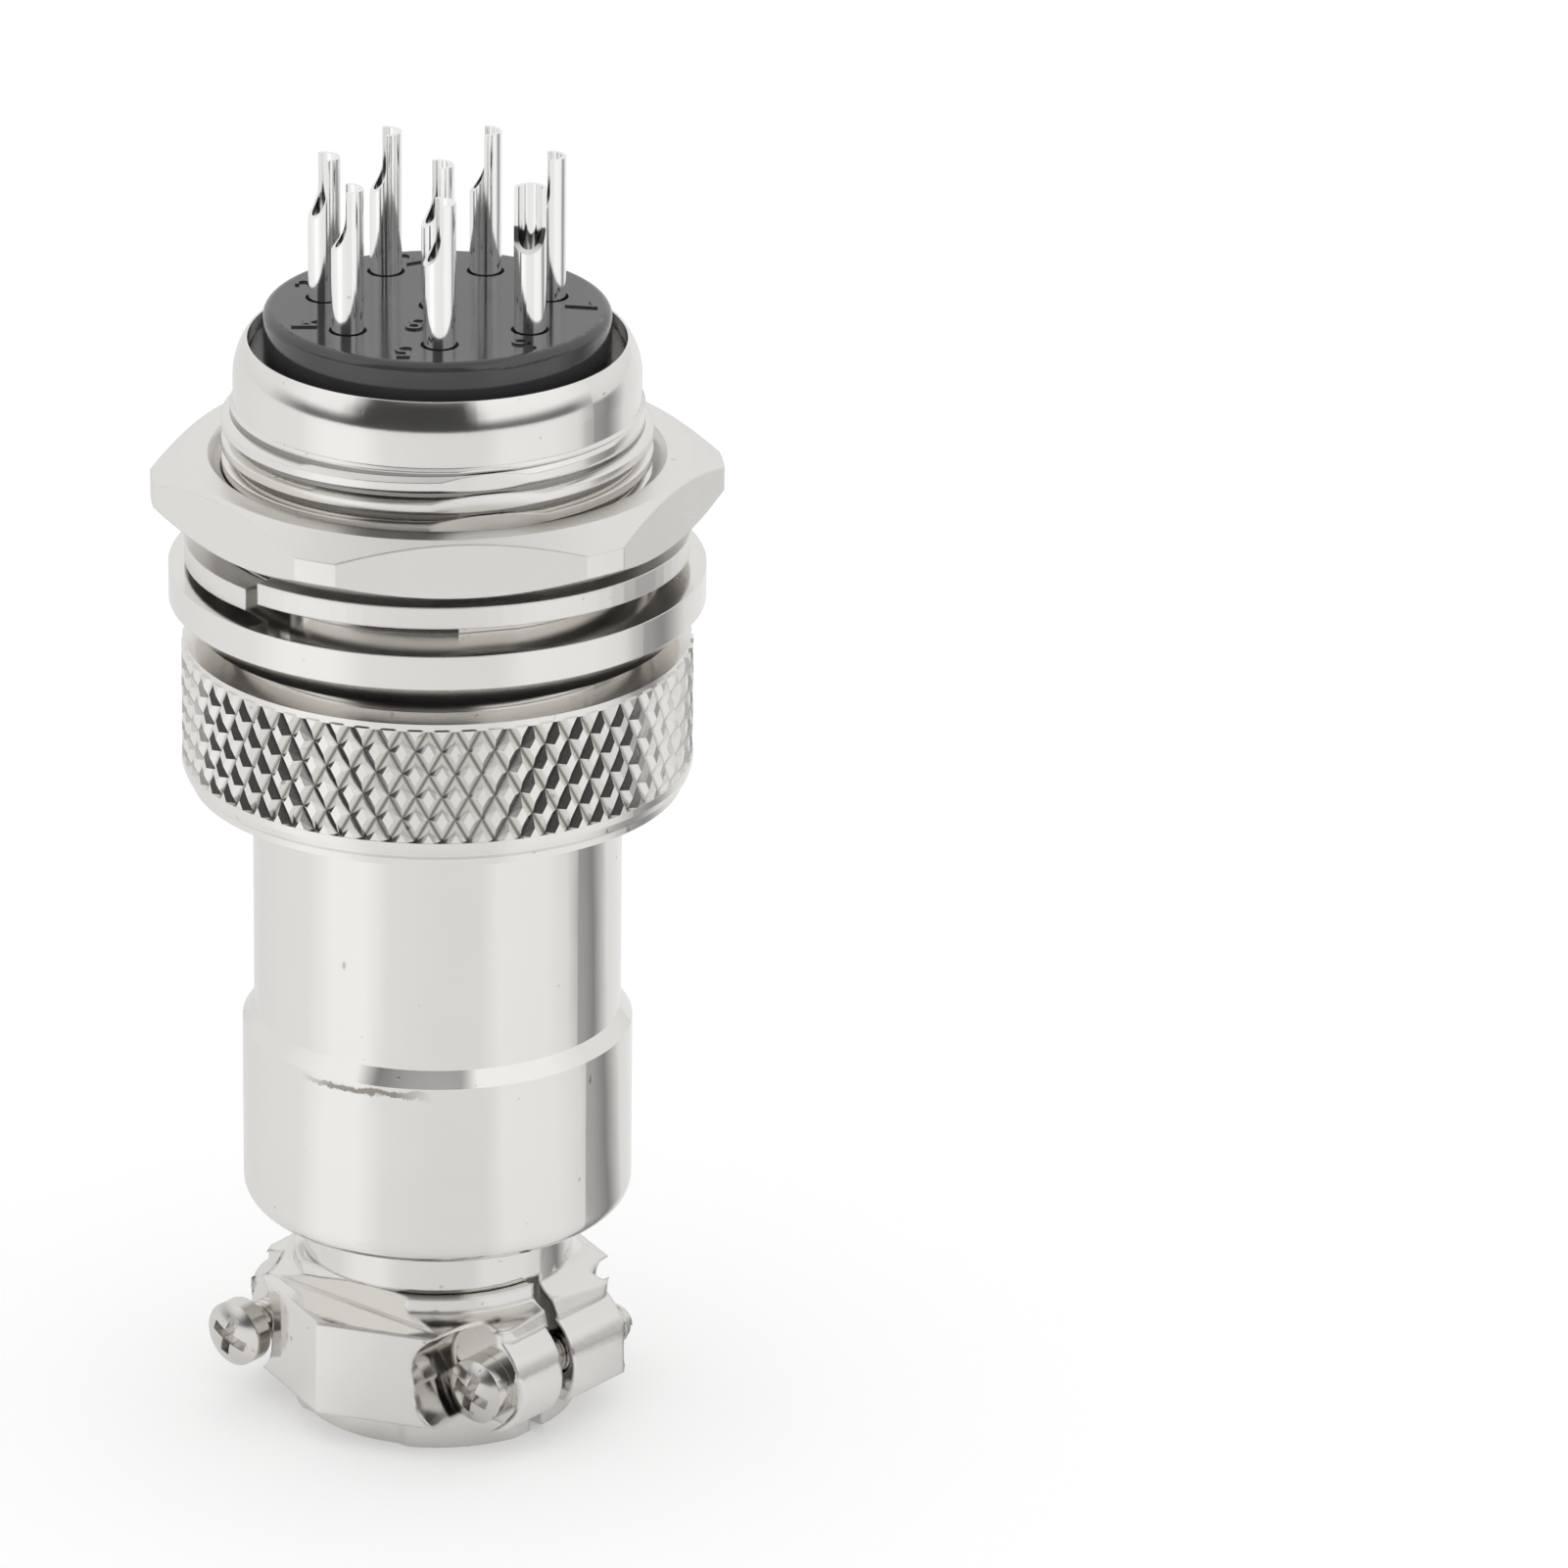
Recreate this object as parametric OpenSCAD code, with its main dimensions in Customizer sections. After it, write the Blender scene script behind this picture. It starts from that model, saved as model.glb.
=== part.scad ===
// Circular 8-contact connector: a panel socket mated with its cable plug.
// It stands on the cable clamp, +Z up. The origin is the centre of the clamp's lower face.

/* [Contacts] */
// Number of contacts on the pitch circle, besides the centre one
ring_contacts = 7; // [5:1:8]
// Radius of the contact pitch circle
contact_pitch_r = 5.33; // [4.9:0.01:5.6]
// Angle of the first contact, seen from above, from +X
contact_start = -48; // [-180:1:180]
// Diameter of a contact pin and of its solder cup
contact_d = 1.5; // [1.2:0.05:1.7]
// Length of a socket contact above its insulator
cup_reach = 6.85; // [5:0.05:9]
// Wall of a solder cup
cup_wall = 0.2; // [0.15:0.01:0.3]
// Straight height of the opening cut in the side of a cup
cup_slot = 1.6; // [1:0.1:2.5]
// Radius of the cutter that leaves the run-out of that opening
cup_cutter_r = 1.7; // [1:0.1:2.5]
// Outer diameter of a female plug contact
female_d = 2.3; // [2.1:0.05:2.6]
// Depth of the bore of a female contact
female_bore = 7.4; // [6:0.1:9]
// Length of a socket pin in front of its insulator
pin_reach = 6.1; // [5:0.1:6.5]

/* [Socket] */
// Outer diameter of the panel thread behind the flange
panel_thread_d = 20; // [19.6:0.1:20.6]
// Diameter of that thread's core
panel_core_d = 19.2; // [19:0.05:19.4]
// Length of that thread, with its end chamfer
panel_thread_len = 8; // [7:0.1:10]
// Diameter of the plain rim behind the thread
rim_d = 18.92; // [18.7:0.01:19.1]
// Height of the rim above the thread
rim_h = 3.0; // [2.5:0.1:3.4]
// Radius of the rolled edge of the rim
rim_round = 3; // [2.4:0.05:3.6]
// Inner diameter of the rolled edge
rim_lip_d = 17.56; // [17.3:0.01:17.8]
// Width of the flat land on top of the rim (mm)
rim_land = 0.1; // [0.05:0.05:0.2]
// Diameter of the flange
flange_d = 25; // [24.6:0.1:28]
// Height of the straight side of the flange
flange_h = 1.6; // [1:0.1:3]
// Height of the bevel in front of the flange
flange_bevel = 1.2; // [0.6:0.1:1.4]
// Distance of the flat on the panel thread from the axis
thread_flat = 9.5; // [9.3:0.01:9.55]
// Angle of that flat, seen from above, from +X
thread_flat_angle = -35; // [-180:1:180]
// Length of the socket barrel in front of the flange
socket_barrel_len = 4.3; // [4:0.1:4.6]
// Diameter of the raised back of the socket insulator
insulator_boss_d = 16.1; // [15.4:0.1:16.6]
// Height of that back above the rim
insulator_proud = 1.5; // [0.5:0.1:3]
// Rounding of its edge
insulator_round = 0.45; // [0.2:0.05:0.8]

/* [Nut and washer] */
// Width of the panel nut across its flats
nut_af = 24; // [23.6:0.1:26]
// Height of the nut
nut_h = 2.9; // [2:0.1:3.5]
// Diameter that the corners of the nut are turned to
nut_turned_d = 26.6; // [25.2:0.1:27.6]
// Angle of a flat of the nut, seen from above, from +X
nut_angle = -43.8; // [-180:0.1:180]
// Distance of the nut from the flange
nut_lift = 2.5; // [2.4:0.05:3]
// Outer diameter of the lock washer
washer_d = 23.5; // [22.5:0.1:24]
// Thickness of the lock washer
washer_t = 1.04; // [0.8:0.02:1.1]
// Rise from one end of the lock washer to the other
washer_rise = 0.5; // [0.3:0.05:0.6]
// Rise of the lock washer's high side over its middle
washer_lean = 0.385; // [0.2:0.005:0.4]
// Height of the low end's middle over the flange
washer_float = 0.25; // [0.23:0.01:0.3]
// Angle of the split, seen from above, from +X
washer_split = -95.5; // [-180:0.5:180]

/* [Coupling ring] */
// Diameter of the coupling ring over the knurl
ring_d = 23.9; // [23.6:0.1:25]
// Height of the coupling ring
ring_h = 7.1; // [6.5:0.1:7.5]
// Height of the plain band under the knurl
ring_band = 1.3; // [1:0.1:1.8]
// Number of knurl grooves in each direction
knurl_starts = 60; // [40:1:72]
// Depth of a knurl groove
knurl_depth = 0.32; // [0.2:0.01:0.4]
// Width of a knurl diamond's flat top, as a share of the diamond
knurl_flat = 0.42; // [0.3:0.01:0.6]
// Angle of a groove from the axis
knurl_angle = 30; // [25:1:40]
// Gap between the ring and the flange bevel, still to be screwed up
ring_gap = 0.8; // [0.5:0.05:1.2]

/* [Rear shell] */
// Diameter of the slim part of the rear shell
shell_d = 17.3; // [17.1:0.1:17.6]
// Diameter of its wide lower part
shell_wide_d = 18.4; // [18:0.1:20]
// Length of the whole rear shell
shell_len = 22.87; // [21:0.1:25]
// Height of the wide part, with its chamfer
shell_wide_h = 9.9; // [8:0.1:12]
// Height of the chamfer on the wide part
shell_step = 0.72; // [0.5:0.02:1]
// Rounding of the shell's lower edge
shell_round = 1.1; // [0.6:0.05:1.1]
// Bore of the wire space in the shell
shell_bore = 14; // [13:0.1:14.4]

/* [Plug core] */
// Diameter of the thread that holds the rear shell
core_thread_d = 15.8; // [15.4:0.05:15.9]
// Length of that thread
core_thread_len = 6.4; // [5:0.1:8]
// Outer diameter of the plug barrel that enters the socket
plug_barrel_d = 17; // [16.6:0.05:17.1]
// Length of the plug barrel in front of its flange
plug_barrel_len = 10.7; // [10:0.1:11]
// Diameter of the plug insulator
plug_insulator_d = 14.7; // [14.4:0.05:14.8]
// Width of the polarising key
key_w = 2; // [1.5:0.1:2.5]

/* [Cable clamp] */
// Diameter of the neck that turns in the rear shell
neck_d = 12.8; // [12.6:0.1:13]
// Height of the neck's shoulder, where the rear shell starts
shell_z = 10.33; // [10:0.05:12]
// Diameter of the foot collar
foot_d = 13.15; // [12.6:0.05:13.6]
// Height of the foot collar, up to the clamp blocks
foot_h = 1.7; // [1.2:0.1:2]
// Bore that grips the cable
cable_d = 9.6; // [8:0.1:10]
// Height of the top of the clamp blocks
block_top = 6.4; // [6.2:0.05:6.8]
// Distance of the ridge of the loose half from the axis
saddle_ridge = 8.7; // [8.5:0.1:9.3]
// Distance of the ridge of the fixed half from the axis
fixed_ridge = 8.3; // [8.1:0.1:9]
// Fall of the front faces of a half away from its ridge, in degrees
ridge_fall = 22; // [18:0.5:24]
// Distance from the mating plane at which the round side of a lug ends (mm)
lug_end = 3.45; // [3.2:0.05:3.45]
// Distance of a lug's centre inside its screw (mm)
lug_in = 0.85; // [0.7:0.05:0.95]
// Distance between the two clamp screws
screw_spacing = 12.9; // [12.8:0.05:13.3]
// Radius of the rounded lugs round the screws
lug_r = 3; // [2.9:0.05:3.2]
// Radius of the recess for a screw head
recess_r = 2; // [1.8:0.05:2.1]
// Distance of the screw seats from the axis
seat_y = 3.85; // [3.5:0.05:4.1]
// Height of the top of the collar above the blocks
collar_h = 1.35; // [1.1:0.05:1.5]
// Thickness of the saddle's collar outside the neck
collar_t = 0.45; // [0.3:0.05:0.6]
// Gap between the two halves, still to be screwed up
clamp_gap = 0.9; // [0.5:0.05:1.2]

/* [Clamp screws] */
// Diameter of the screw thread's core
screw_d = 1.7; // [1.6:0.05:1.8]
// Diameter of the screw head
head_d = 3.15; // [3:0.05:3.3]
// Height of the screw head's straight side
head_h = 0.9; // [0.6:0.05:1]
// Rise of the domed top of the head
head_dome = 0.45; // [0.3:0.05:0.6]
// Length of a screw under its head
screw_len = 9.5; // [9:0.1:9.6]
// How far the left screw is backed out
screw_backed = 2.65; // [1:0.1:3]
// Width of one arm of the cross recess
cross_w = 0.5; // [0.4:0.05:0.6]
// Depth of the cross recess
cross_depth = 0.6; // [0.4:0.05:0.65]

/* [Hidden] */
$fn = 96;

// Clearances
run = 0.05;         // round parts that turn or slide in each other
loose = 0.1;        // flat faces and keys that pass each other
eps = 0.02;         // overshoot of a cutting shape

// Heights of the plug, upwards from the neck
lip_h = 1.3;                                  // rolled lip that holds the neck
neck_flange_h = 1.1;
neck_flange_d = shell_bore + 1;
neck_flange_z = shell_z + lip_h + run;
wire_z = neck_flange_z + neck_flange_h + run; // floor of the wire space
shell_top = shell_z + shell_len;
core_flange_z = shell_top + run;
core_flange_h = 1;
core_flange_d = panel_thread_d - 0.6;
plug_face = core_flange_z + core_flange_h + plug_barrel_len;
ring_lip = 1.4;
ring_z = core_flange_z - run - ring_lip - loose;
ring_top = ring_z + ring_h;
ring_bore = panel_thread_d + 2*run;

// Heights of the socket
bevel_z = ring_top + ring_gap;
flange_z = bevel_z + flange_bevel;
flange_top = flange_z + flange_h;
socket_front = bevel_z - socket_barrel_len;
thread_top = flange_top + panel_thread_len;
rim_top = thread_top + rim_h;
insulator_top = rim_top + insulator_proud;
contact_top = insulator_top + cup_reach;
socket_bore = plug_barrel_d + 2*run;
socket_step_z = plug_face + ring_gap + loose;
socket_step_h = 1;
socket_face = socket_step_z - run;
wall_bore = rim_lip_d + 0.44;                 // bore behind the inner step
shoulder_z = rim_top - 1.9;

// Plug insulator and contacts
core_bore = plug_insulator_d + 2*run;
core_front_lip = 0.5;
plug_insulator_top = plug_face - core_front_lip;
plug_insulator_len = 14.2;
plug_insulator_z = plug_insulator_top - plug_insulator_len;
snap_ring_h = 0.8;
plug_cup_len = 3.4;
pin_tip = socket_face - pin_reach;

// Nut
nut_z = flange_top + nut_lift;

// Clamp
screw_x = screw_spacing/2;
screw_z = block_top - lug_r;
collar_top = block_top + collar_h;
neck_foot = collar_top + run;                 // lower edge of the neck over the saddle
neck_bore = cable_d + 1.2;
recess_rise = block_top + 0.15 - recess_r - screw_z;

metal = [0.80, 0.80, 0.79];
dark = [0.09, 0.09, 0.10];
silver = [0.90, 0.90, 0.89];

// ---- shared shapes ----

// Plain tube between two heights
module tube(d_out, d_in, z0, z1) {
    difference() {
        translate([0, 0, z0]) cylinder(d = d_out, h = z1 - z0);
        translate([0, 0, z0 - eps]) cylinder(d = d_in, h = z1 - z0 + 2*eps);
    }
}

// Cone between two radii and heights
module cone(r0, z0, r1, z1) {
    translate([0, 0, z0]) cylinder(r1 = r0, r2 = r1, h = z1 - z0);
}

// Places of the contacts: the pitch circle first, then the centre
function contact_place(i) = i < ring_contacts
    ? contact_pitch_r*[cos(contact_start + i*360/ring_contacts), sin(contact_start + i*360/ring_contacts)]
    : [0, 0];

// Direction that each solder cup opens to
cup_facing = [-128, -62, -134, -141, -131, -122, -137, -125];

// Solder cup along +Z from z = 0, open to +X, with a scooped run-out
module solder_cup(length) {
    hole_d = contact_d - 2*cup_wall;
    cut_x = 0.06;
    difference() {
        cylinder(d = contact_d, h = length);
        translate([0, 0, length - cup_slot - cup_cutter_r]) cylinder(d = hole_d, h = cup_slot + cup_cutter_r + eps);
        translate([cut_x, -contact_d, length - cup_slot]) cube([contact_d, 2*contact_d, cup_slot + eps]);
        translate([cut_x + cup_cutter_r, 0, length - cup_slot]) rotate([90, 0, 0])
            cylinder(r = cup_cutter_r, h = 2*contact_d, center = true);
    }
}

// Hole for each contact, for cutting
module at_contacts() {
    for (i = [0:ring_contacts]) translate(contact_place(i)) children();
}

// ---- cable clamp ----

// Outline of one clamp half, seen from above, on the -Y side of the axis
module half_plan(ridge) {
    front_x = screw_x + 0.25*lug_r;
    lug_x = screw_x - lug_in + lug_r;
    front_y = ridge - front_x*tan(ridge_fall);
    polygon([
        [-lug_x - 0.1, 0], [-lug_x - 0.1, -lug_end], [-front_x, -front_y], [0, -ridge],
        [front_x, -front_y], [lug_x + 0.1, -lug_end], [lug_x + 0.1, 0]
    ]);
}

// Front view of a half: a flat bar with a round lug at each end, cut off at the foot
module half_front() {
    difference() {
        union() {
            translate([lug_in - screw_x, foot_h]) square([screw_spacing - 2*lug_in, block_top - foot_h]);
            for (s = [-1, 1]) translate([s*(screw_x - lug_in), screw_z]) circle(r = lug_r);
        }
        translate([-2*lug_r - screw_x, foot_h - 2*lug_r]) square([2*screw_spacing, 2*lug_r]);
    }
}

// Round collar with a concave fillet that runs out on top of the blocks
module half_collar(r_lip, z_lip) {
    r_out = screw_x + 1.85;
    rise = z_lip - block_top;
    r_arc = (pow(r_out - r_lip, 2) + pow(rise, 2))/(2*rise);
    shoulder = r_lip + 0.3;
    side = screw_x - lug_in + 2.15;
    intersection() {
        union() {
            cylinder(r = r_lip, h = collar_top);
            rotate_extrude() difference() {
                translate([r_lip - 0.5, block_top - 0.6]) square([r_out - r_lip + 0.5, rise + 0.6]);
                translate([r_out, block_top + r_arc]) circle(r = r_arc);
            }
        }
        rotate([90, 0, 0]) linear_extrude(4*lug_r, center = true) union() {
            translate([-foot_d/2, 0]) square([foot_d, block_top]);
            polygon([
                [-side, block_top - 0.85], [-shoulder, collar_top], [shoulder, collar_top],
                [side, block_top - 0.85]
            ]);
        }
    }
}

// Recess that a screw head drops into, drawn out towards the top
module head_recess(ridge) {
    for (up = [0, recess_rise]) translate([screw_x - 0.1*up, -seat_y, screw_z + up]) rotate([90, 0, 0])
        cylinder(r = recess_r, h = ridge);
}

// Outer form of one clamp half, on the -Y side of a mating face at -gap
module clamp_half(ridge, r_lip, z_lip, gap) {
    difference() {
        intersection() {
            union() {
                intersection() {
                    linear_extrude(block_top + 0.01) half_plan(ridge);
                    rotate([90, 0, 0]) linear_extrude(2*ridge) half_front();
                }
                cylinder(d = foot_d, h = block_top - 0.6);
                half_collar(r_lip, z_lip);
            }
            translate([-2*screw_x, -2*ridge, 0]) cube([4*screw_x, 2*ridge - gap, collar_top]);
        }
        for (s = [0, 1]) mirror([s, 0, 0]) head_recess(ridge);
    }
}

// Root piece: the neck, the flange that turns in the shell, and the fixed half of the clamp
module clamp_body() {
    color(metal) difference() {
        union() {
            mirror([0, 1, 0]) clamp_half(fixed_ridge, neck_d/2, block_top + 1, 0);
            translate([0, 0, neck_foot]) cylinder(d = neck_d, h = neck_flange_z + neck_flange_h - neck_foot);
            intersection() {
                translate([0, 0, block_top]) cylinder(d = neck_d, h = 2*collar_h);
                translate([-neck_d, 0, block_top]) cube([2*neck_d, neck_d, 2*collar_h]);
            }
            translate([0, 0, neck_flange_z]) cylinder(d = neck_flange_d, h = neck_flange_h);
        }
        translate([0, 0, -eps]) cylinder(d = cable_d, h = neck_foot + 2*eps);
        translate([0, 0, neck_foot]) cylinder(d = neck_bore, h = shell_len);
        for (s = [-1, 1]) translate([s*screw_x, fixed_ridge, screw_z]) rotate([90, 0, 0])
            cylinder(d = screw_d + 2*run, h = 2*fixed_ridge);
    }
}

// Loose half of the clamp, with a collar that meets the lower edge of the neck
module clamp_saddle() {
    color(metal) difference() {
        clamp_half(saddle_ridge, neck_d/2 + collar_t, block_top + 0.6, clamp_gap);
        translate([0, 0, -eps]) cylinder(d = cable_d, h = 2*block_top);
        for (s = [-1, 1]) translate([s*screw_x, 0, screw_z]) rotate([90, 0, 0])
            cylinder(d = screw_d + 5*loose, h = 2*saddle_ridge);
    }
}

// Clamp screw along +Y, with the underside of its head at the origin and a cross recess
module clamp_screw() {
    dome_r = (pow(head_d/2, 2) + pow(head_dome, 2))/(2*head_dome);
    difference() {
        rotate([-90, 0, 0]) union() {
            cylinder(d = screw_d, h = screw_len);
            translate([0, 0, -head_h]) cylinder(d = head_d, h = head_h);
            intersection() {
                translate([0, 0, -head_h - head_dome + dome_r]) sphere(r = dome_r);
                translate([0, 0, -head_h - head_dome - eps]) cylinder(d = head_d, h = head_dome + 2*eps);
            }
        }
        for (a = [0, 90]) rotate([0, 20 + a, 0])
            translate([-head_d*0.32, -head_h - head_dome - eps, -cross_w/2]) cube([head_d*0.64, cross_depth, cross_w]);
    }
}

// Left screw, backed out of the fixed half
module clamp_screw_left() {
    color(silver) translate([-screw_x, -seat_y - screw_backed, screw_z]) clamp_screw();
}

// Right screw, whose head holds the saddle
module clamp_screw_right() {
    color(silver) translate([screw_x, -seat_y, screw_z]) clamp_screw();
}

// ---- plug ----

// Turned sleeve that screws on the plug core and turns round the neck
module rear_shell() {
    r_wide = shell_wide_d/2;
    wide_top = shell_z + shell_wide_h;
    color(metal) difference() {
        union() {
            rotate_extrude() union() {
                translate([0, shell_z + shell_round]) square([r_wide, shell_wide_h - shell_step - shell_round]);
                translate([0, shell_z]) square([r_wide - shell_round, shell_round + eps]);
                translate([r_wide - shell_round, shell_z + shell_round]) circle(r = shell_round);
            }
            cone(r_wide, wide_top - shell_step, shell_d/2, wide_top);
            translate([0, 0, shell_z + shell_round]) cylinder(d = shell_d, h = shell_len - shell_round);
        }
        translate([0, 0, shell_z - eps]) cylinder(d = neck_d + 2*run, h = shell_len);
        translate([0, 0, shell_z + lip_h]) cylinder(d = neck_flange_d + 2*run, h = neck_flange_h + 2*run);
        translate([0, 0, wire_z - eps]) cylinder(d = shell_bore, h = shell_len);
        translate([0, 0, shell_top - core_thread_len - loose])
            cylinder(d = core_thread_d + 2*run, h = core_thread_len + loose + eps);
    }
}

// Threaded core of the plug: rear thread, flange that holds the ring, keyed barrel
module plug_core_shell() {
    thread_z = core_flange_z - core_thread_len;
    color(metal) difference() {
        union() {
            translate([0, 0, thread_z]) cylinder(d = core_thread_d, h = core_thread_len + eps);
            translate([0, 0, core_flange_z]) cylinder(d = core_flange_d, h = core_flange_h);
            translate([0, 0, core_flange_z]) cylinder(d = plug_barrel_d, h = plug_face - core_flange_z - 0.3);
            cone(plug_barrel_d/2, plug_face - 0.3, plug_barrel_d/2 - 0.3, plug_face);
        }
        translate([0, 0, thread_z - eps]) cylinder(d = core_bore, h = plug_insulator_top - thread_z + eps);
        translate([0, 0, thread_z]) cylinder(d = core_bore - 0.8, h = 2*shell_len);
        translate([0, 0, plug_insulator_z - snap_ring_h - run])
            cylinder(d = core_bore + 0.5, h = snap_ring_h + run);
        translate([-key_w/2 - loose, plug_barrel_d/2 - 0.5, core_flange_z + core_flange_h])
            cube([key_w + 2*loose, plug_barrel_d, 2*plug_barrel_len]);
    }
}

// Black insert of the plug
module plug_insulator() {
    color(dark) difference() {
        translate([0, 0, plug_insulator_z]) cylinder(d = plug_insulator_d, h = plug_insulator_len);
        at_contacts() {
            translate([0, 0, plug_insulator_top - female_bore - 1]) cylinder(d = female_d, h = 2*female_bore);
            translate([0, 0, plug_insulator_z - eps]) cylinder(d = contact_d, h = plug_insulator_len);
        }
    }
}

// Open ring that holds the insert in the core
module plug_snap_ring() {
    color(metal) difference() {
        tube(core_bore + 0.4, plug_insulator_d - 1.6, plug_insulator_z - snap_ring_h, plug_insulator_z);
        translate([0, -1, plug_insulator_z - 2*snap_ring_h]) cube([shell_d, 2, 3*snap_ring_h]);
    }
}

// Female contact of the plug, with its solder cup towards the cable
module plug_contact(i) {
    female_z = plug_insulator_top - female_bore - 1;
    color(silver) translate(contact_place(i)) {
        difference() {
            translate([0, 0, female_z]) cylinder(d = female_d, h = plug_insulator_top - female_z);
            translate([0, 0, plug_insulator_top - female_bore])
                cylinder(d = contact_d + 2*run, h = female_bore + eps);
            translate([0, 0, plug_insulator_top - female_bore/2 - eps])
                rotate([0, 0, 45]) translate([-female_d, -0.15, 0]) cube([2*female_d, 0.3, female_bore]);
        }
        translate([0, 0, plug_insulator_z]) cylinder(d = contact_d, h = female_z - plug_insulator_z + eps);
        translate([0, 0, plug_insulator_z + eps]) rotate([180, 0, cup_facing[i]]) solder_cup(plug_cup_len + eps);
    }
}

// ---- coupling ring ----

// Corner of the knurl net: grooves cross where row + column is even
function knurl_point(col, row, r) = [r*cos(col*180/knurl_starts), r*sin(col*180/knurl_starts), row];

// Knurled band as one closed mesh: diamonds with flat tops, between two heights.
// Each diamond has four groove corners, shared with its neighbours, and four corners of its top.
module knurl_band(z0, z1, r_top, r_in) {
    cols = 2*knurl_starts;
    pitch = PI*r_top/(knurl_starts*tan(knurl_angle));
    rows = max(2, round((z1 - z0)/pitch));
    step = (z1 - z0)/rows;
    r_low = r_top - knurl_depth;
    k = knurl_flat;
    net = [for (i = [0:rows]) for (j = [0:cols - 1])
        knurl_point(j, z0 + i*step, (i + j) % 2 == 0 ? r_low : r_top)];
    tops = [for (i = [0:rows]) for (j = [0:cols - 1]) for (c = [0:3])
        let (dj = c == 0 ? k : c == 2 ? -k : 0, di = c == 1 ? k : c == 3 ? -k : 0,
             ii = min(rows, max(0, i + di)))
        knurl_point(j + dj, z0 + ii*step, r_top)];
    inner = [for (e = [0, 1]) for (j = [0:cols - 1]) knurl_point(j, e == 0 ? z0 : z1, r_in)];
    t0 = len(net);
    n0 = t0 + len(tops);
    function g(i, j) = i*cols + (j + cols) % cols;
    function t(i, j, c) = t0 + 4*g(i, j) + c;
    function n(e, j) = n0 + e*cols + (j + cols) % cols;
    cells = [for (i = [0:rows]) for (j = [0:cols - 1]) if ((i + j) % 2 == 1) [i, j]];
    faces = [for (p = cells) let (i = p[0], j = p[1], up = i < rows, down = i > 0) each concat(
        up ? [[t(i, j, 0), t(i, j, 2), t(i, j, 1)],
              [g(i, j + 1), t(i, j, 0), t(i, j, 1)], [g(i, j + 1), t(i, j, 1), g(i + 1, j)],
              [g(i, j - 1), g(i + 1, j), t(i, j, 1)], [g(i, j - 1), t(i, j, 1), t(i, j, 2)]] : [],
        down ? [[t(i, j, 0), t(i, j, 3), t(i, j, 2)],
                [g(i, j + 1), g(i - 1, j), t(i, j, 3)], [g(i, j + 1), t(i, j, 3), t(i, j, 0)],
                [g(i, j - 1), t(i, j, 2), t(i, j, 3)], [g(i, j - 1), t(i, j, 3), g(i - 1, j)]] : [],
        up ? [] : [[n(1, j), t(i, j, 0), g(i, j + 1)], [n(1, j), g(i, j - 1), t(i, j, 2)],
                   [n(1, j), t(i, j, 2), t(i, j, 0)],
                   [n(1, j), g(i, j + 1), n(1, j + 1)], [n(1, j), n(1, j - 1), g(i, j - 1)]],
        down ? [] : [[n(0, j), g(i, j + 1), t(i, j, 0)], [n(0, j), t(i, j, 2), g(i, j - 1)],
                     [n(0, j), t(i, j, 0), t(i, j, 2)],
                     [n(0, j), n(0, j + 1), g(i, j + 1)], [n(0, j), g(i, j - 1), n(0, j - 1)]])];
    wall = [for (j = [0:cols - 1]) each [[n(0, j), n(1, j), n(1, j + 1)], [n(0, j), n(1, j + 1), n(0, j + 1)]]];
    polyhedron(points = concat(net, tops, inner), faces = [for (f = concat(faces, wall)) [f[0], f[2], f[1]]]);
}

// Knurled ring that turns on the plug core and screws on the socket
module coupling_ring() {
    r = ring_d/2;
    edge = 0.8;
    top_rim = 0.35;
    core_r = r - knurl_depth - 0.1;
    knurl_z = ring_z + ring_band;
    color(metal) difference() {
        union() {
            cone(r - edge, ring_z, r - 0.12, ring_z + 0.75*edge);
            cone(r - 0.12, ring_z + 0.75*edge, r, ring_z + edge + 0.15);
            translate([0, 0, ring_z + edge + 0.15]) cylinder(r = r, h = ring_band - edge - 0.15);
            translate([0, 0, ring_z + eps]) cylinder(r = core_r, h = ring_h - eps);
            translate([0, 0, ring_top - top_rim]) cylinder(r = r - 0.15, h = top_rim);
            knurl_band(knurl_z - 0.05, ring_top - top_rim + 0.05, r - 0.02, core_r - 0.2);
        }
        translate([0, 0, ring_z - eps]) cylinder(d = shell_d + 6*loose, h = ring_h);
        translate([0, 0, ring_z + ring_lip]) cylinder(d = ring_bore, h = ring_h);
        cone(ring_bore/2 - eps, ring_top - 0.25, ring_bore/2 + 0.25, ring_top + eps);
    }
}

// ---- socket ----

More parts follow.
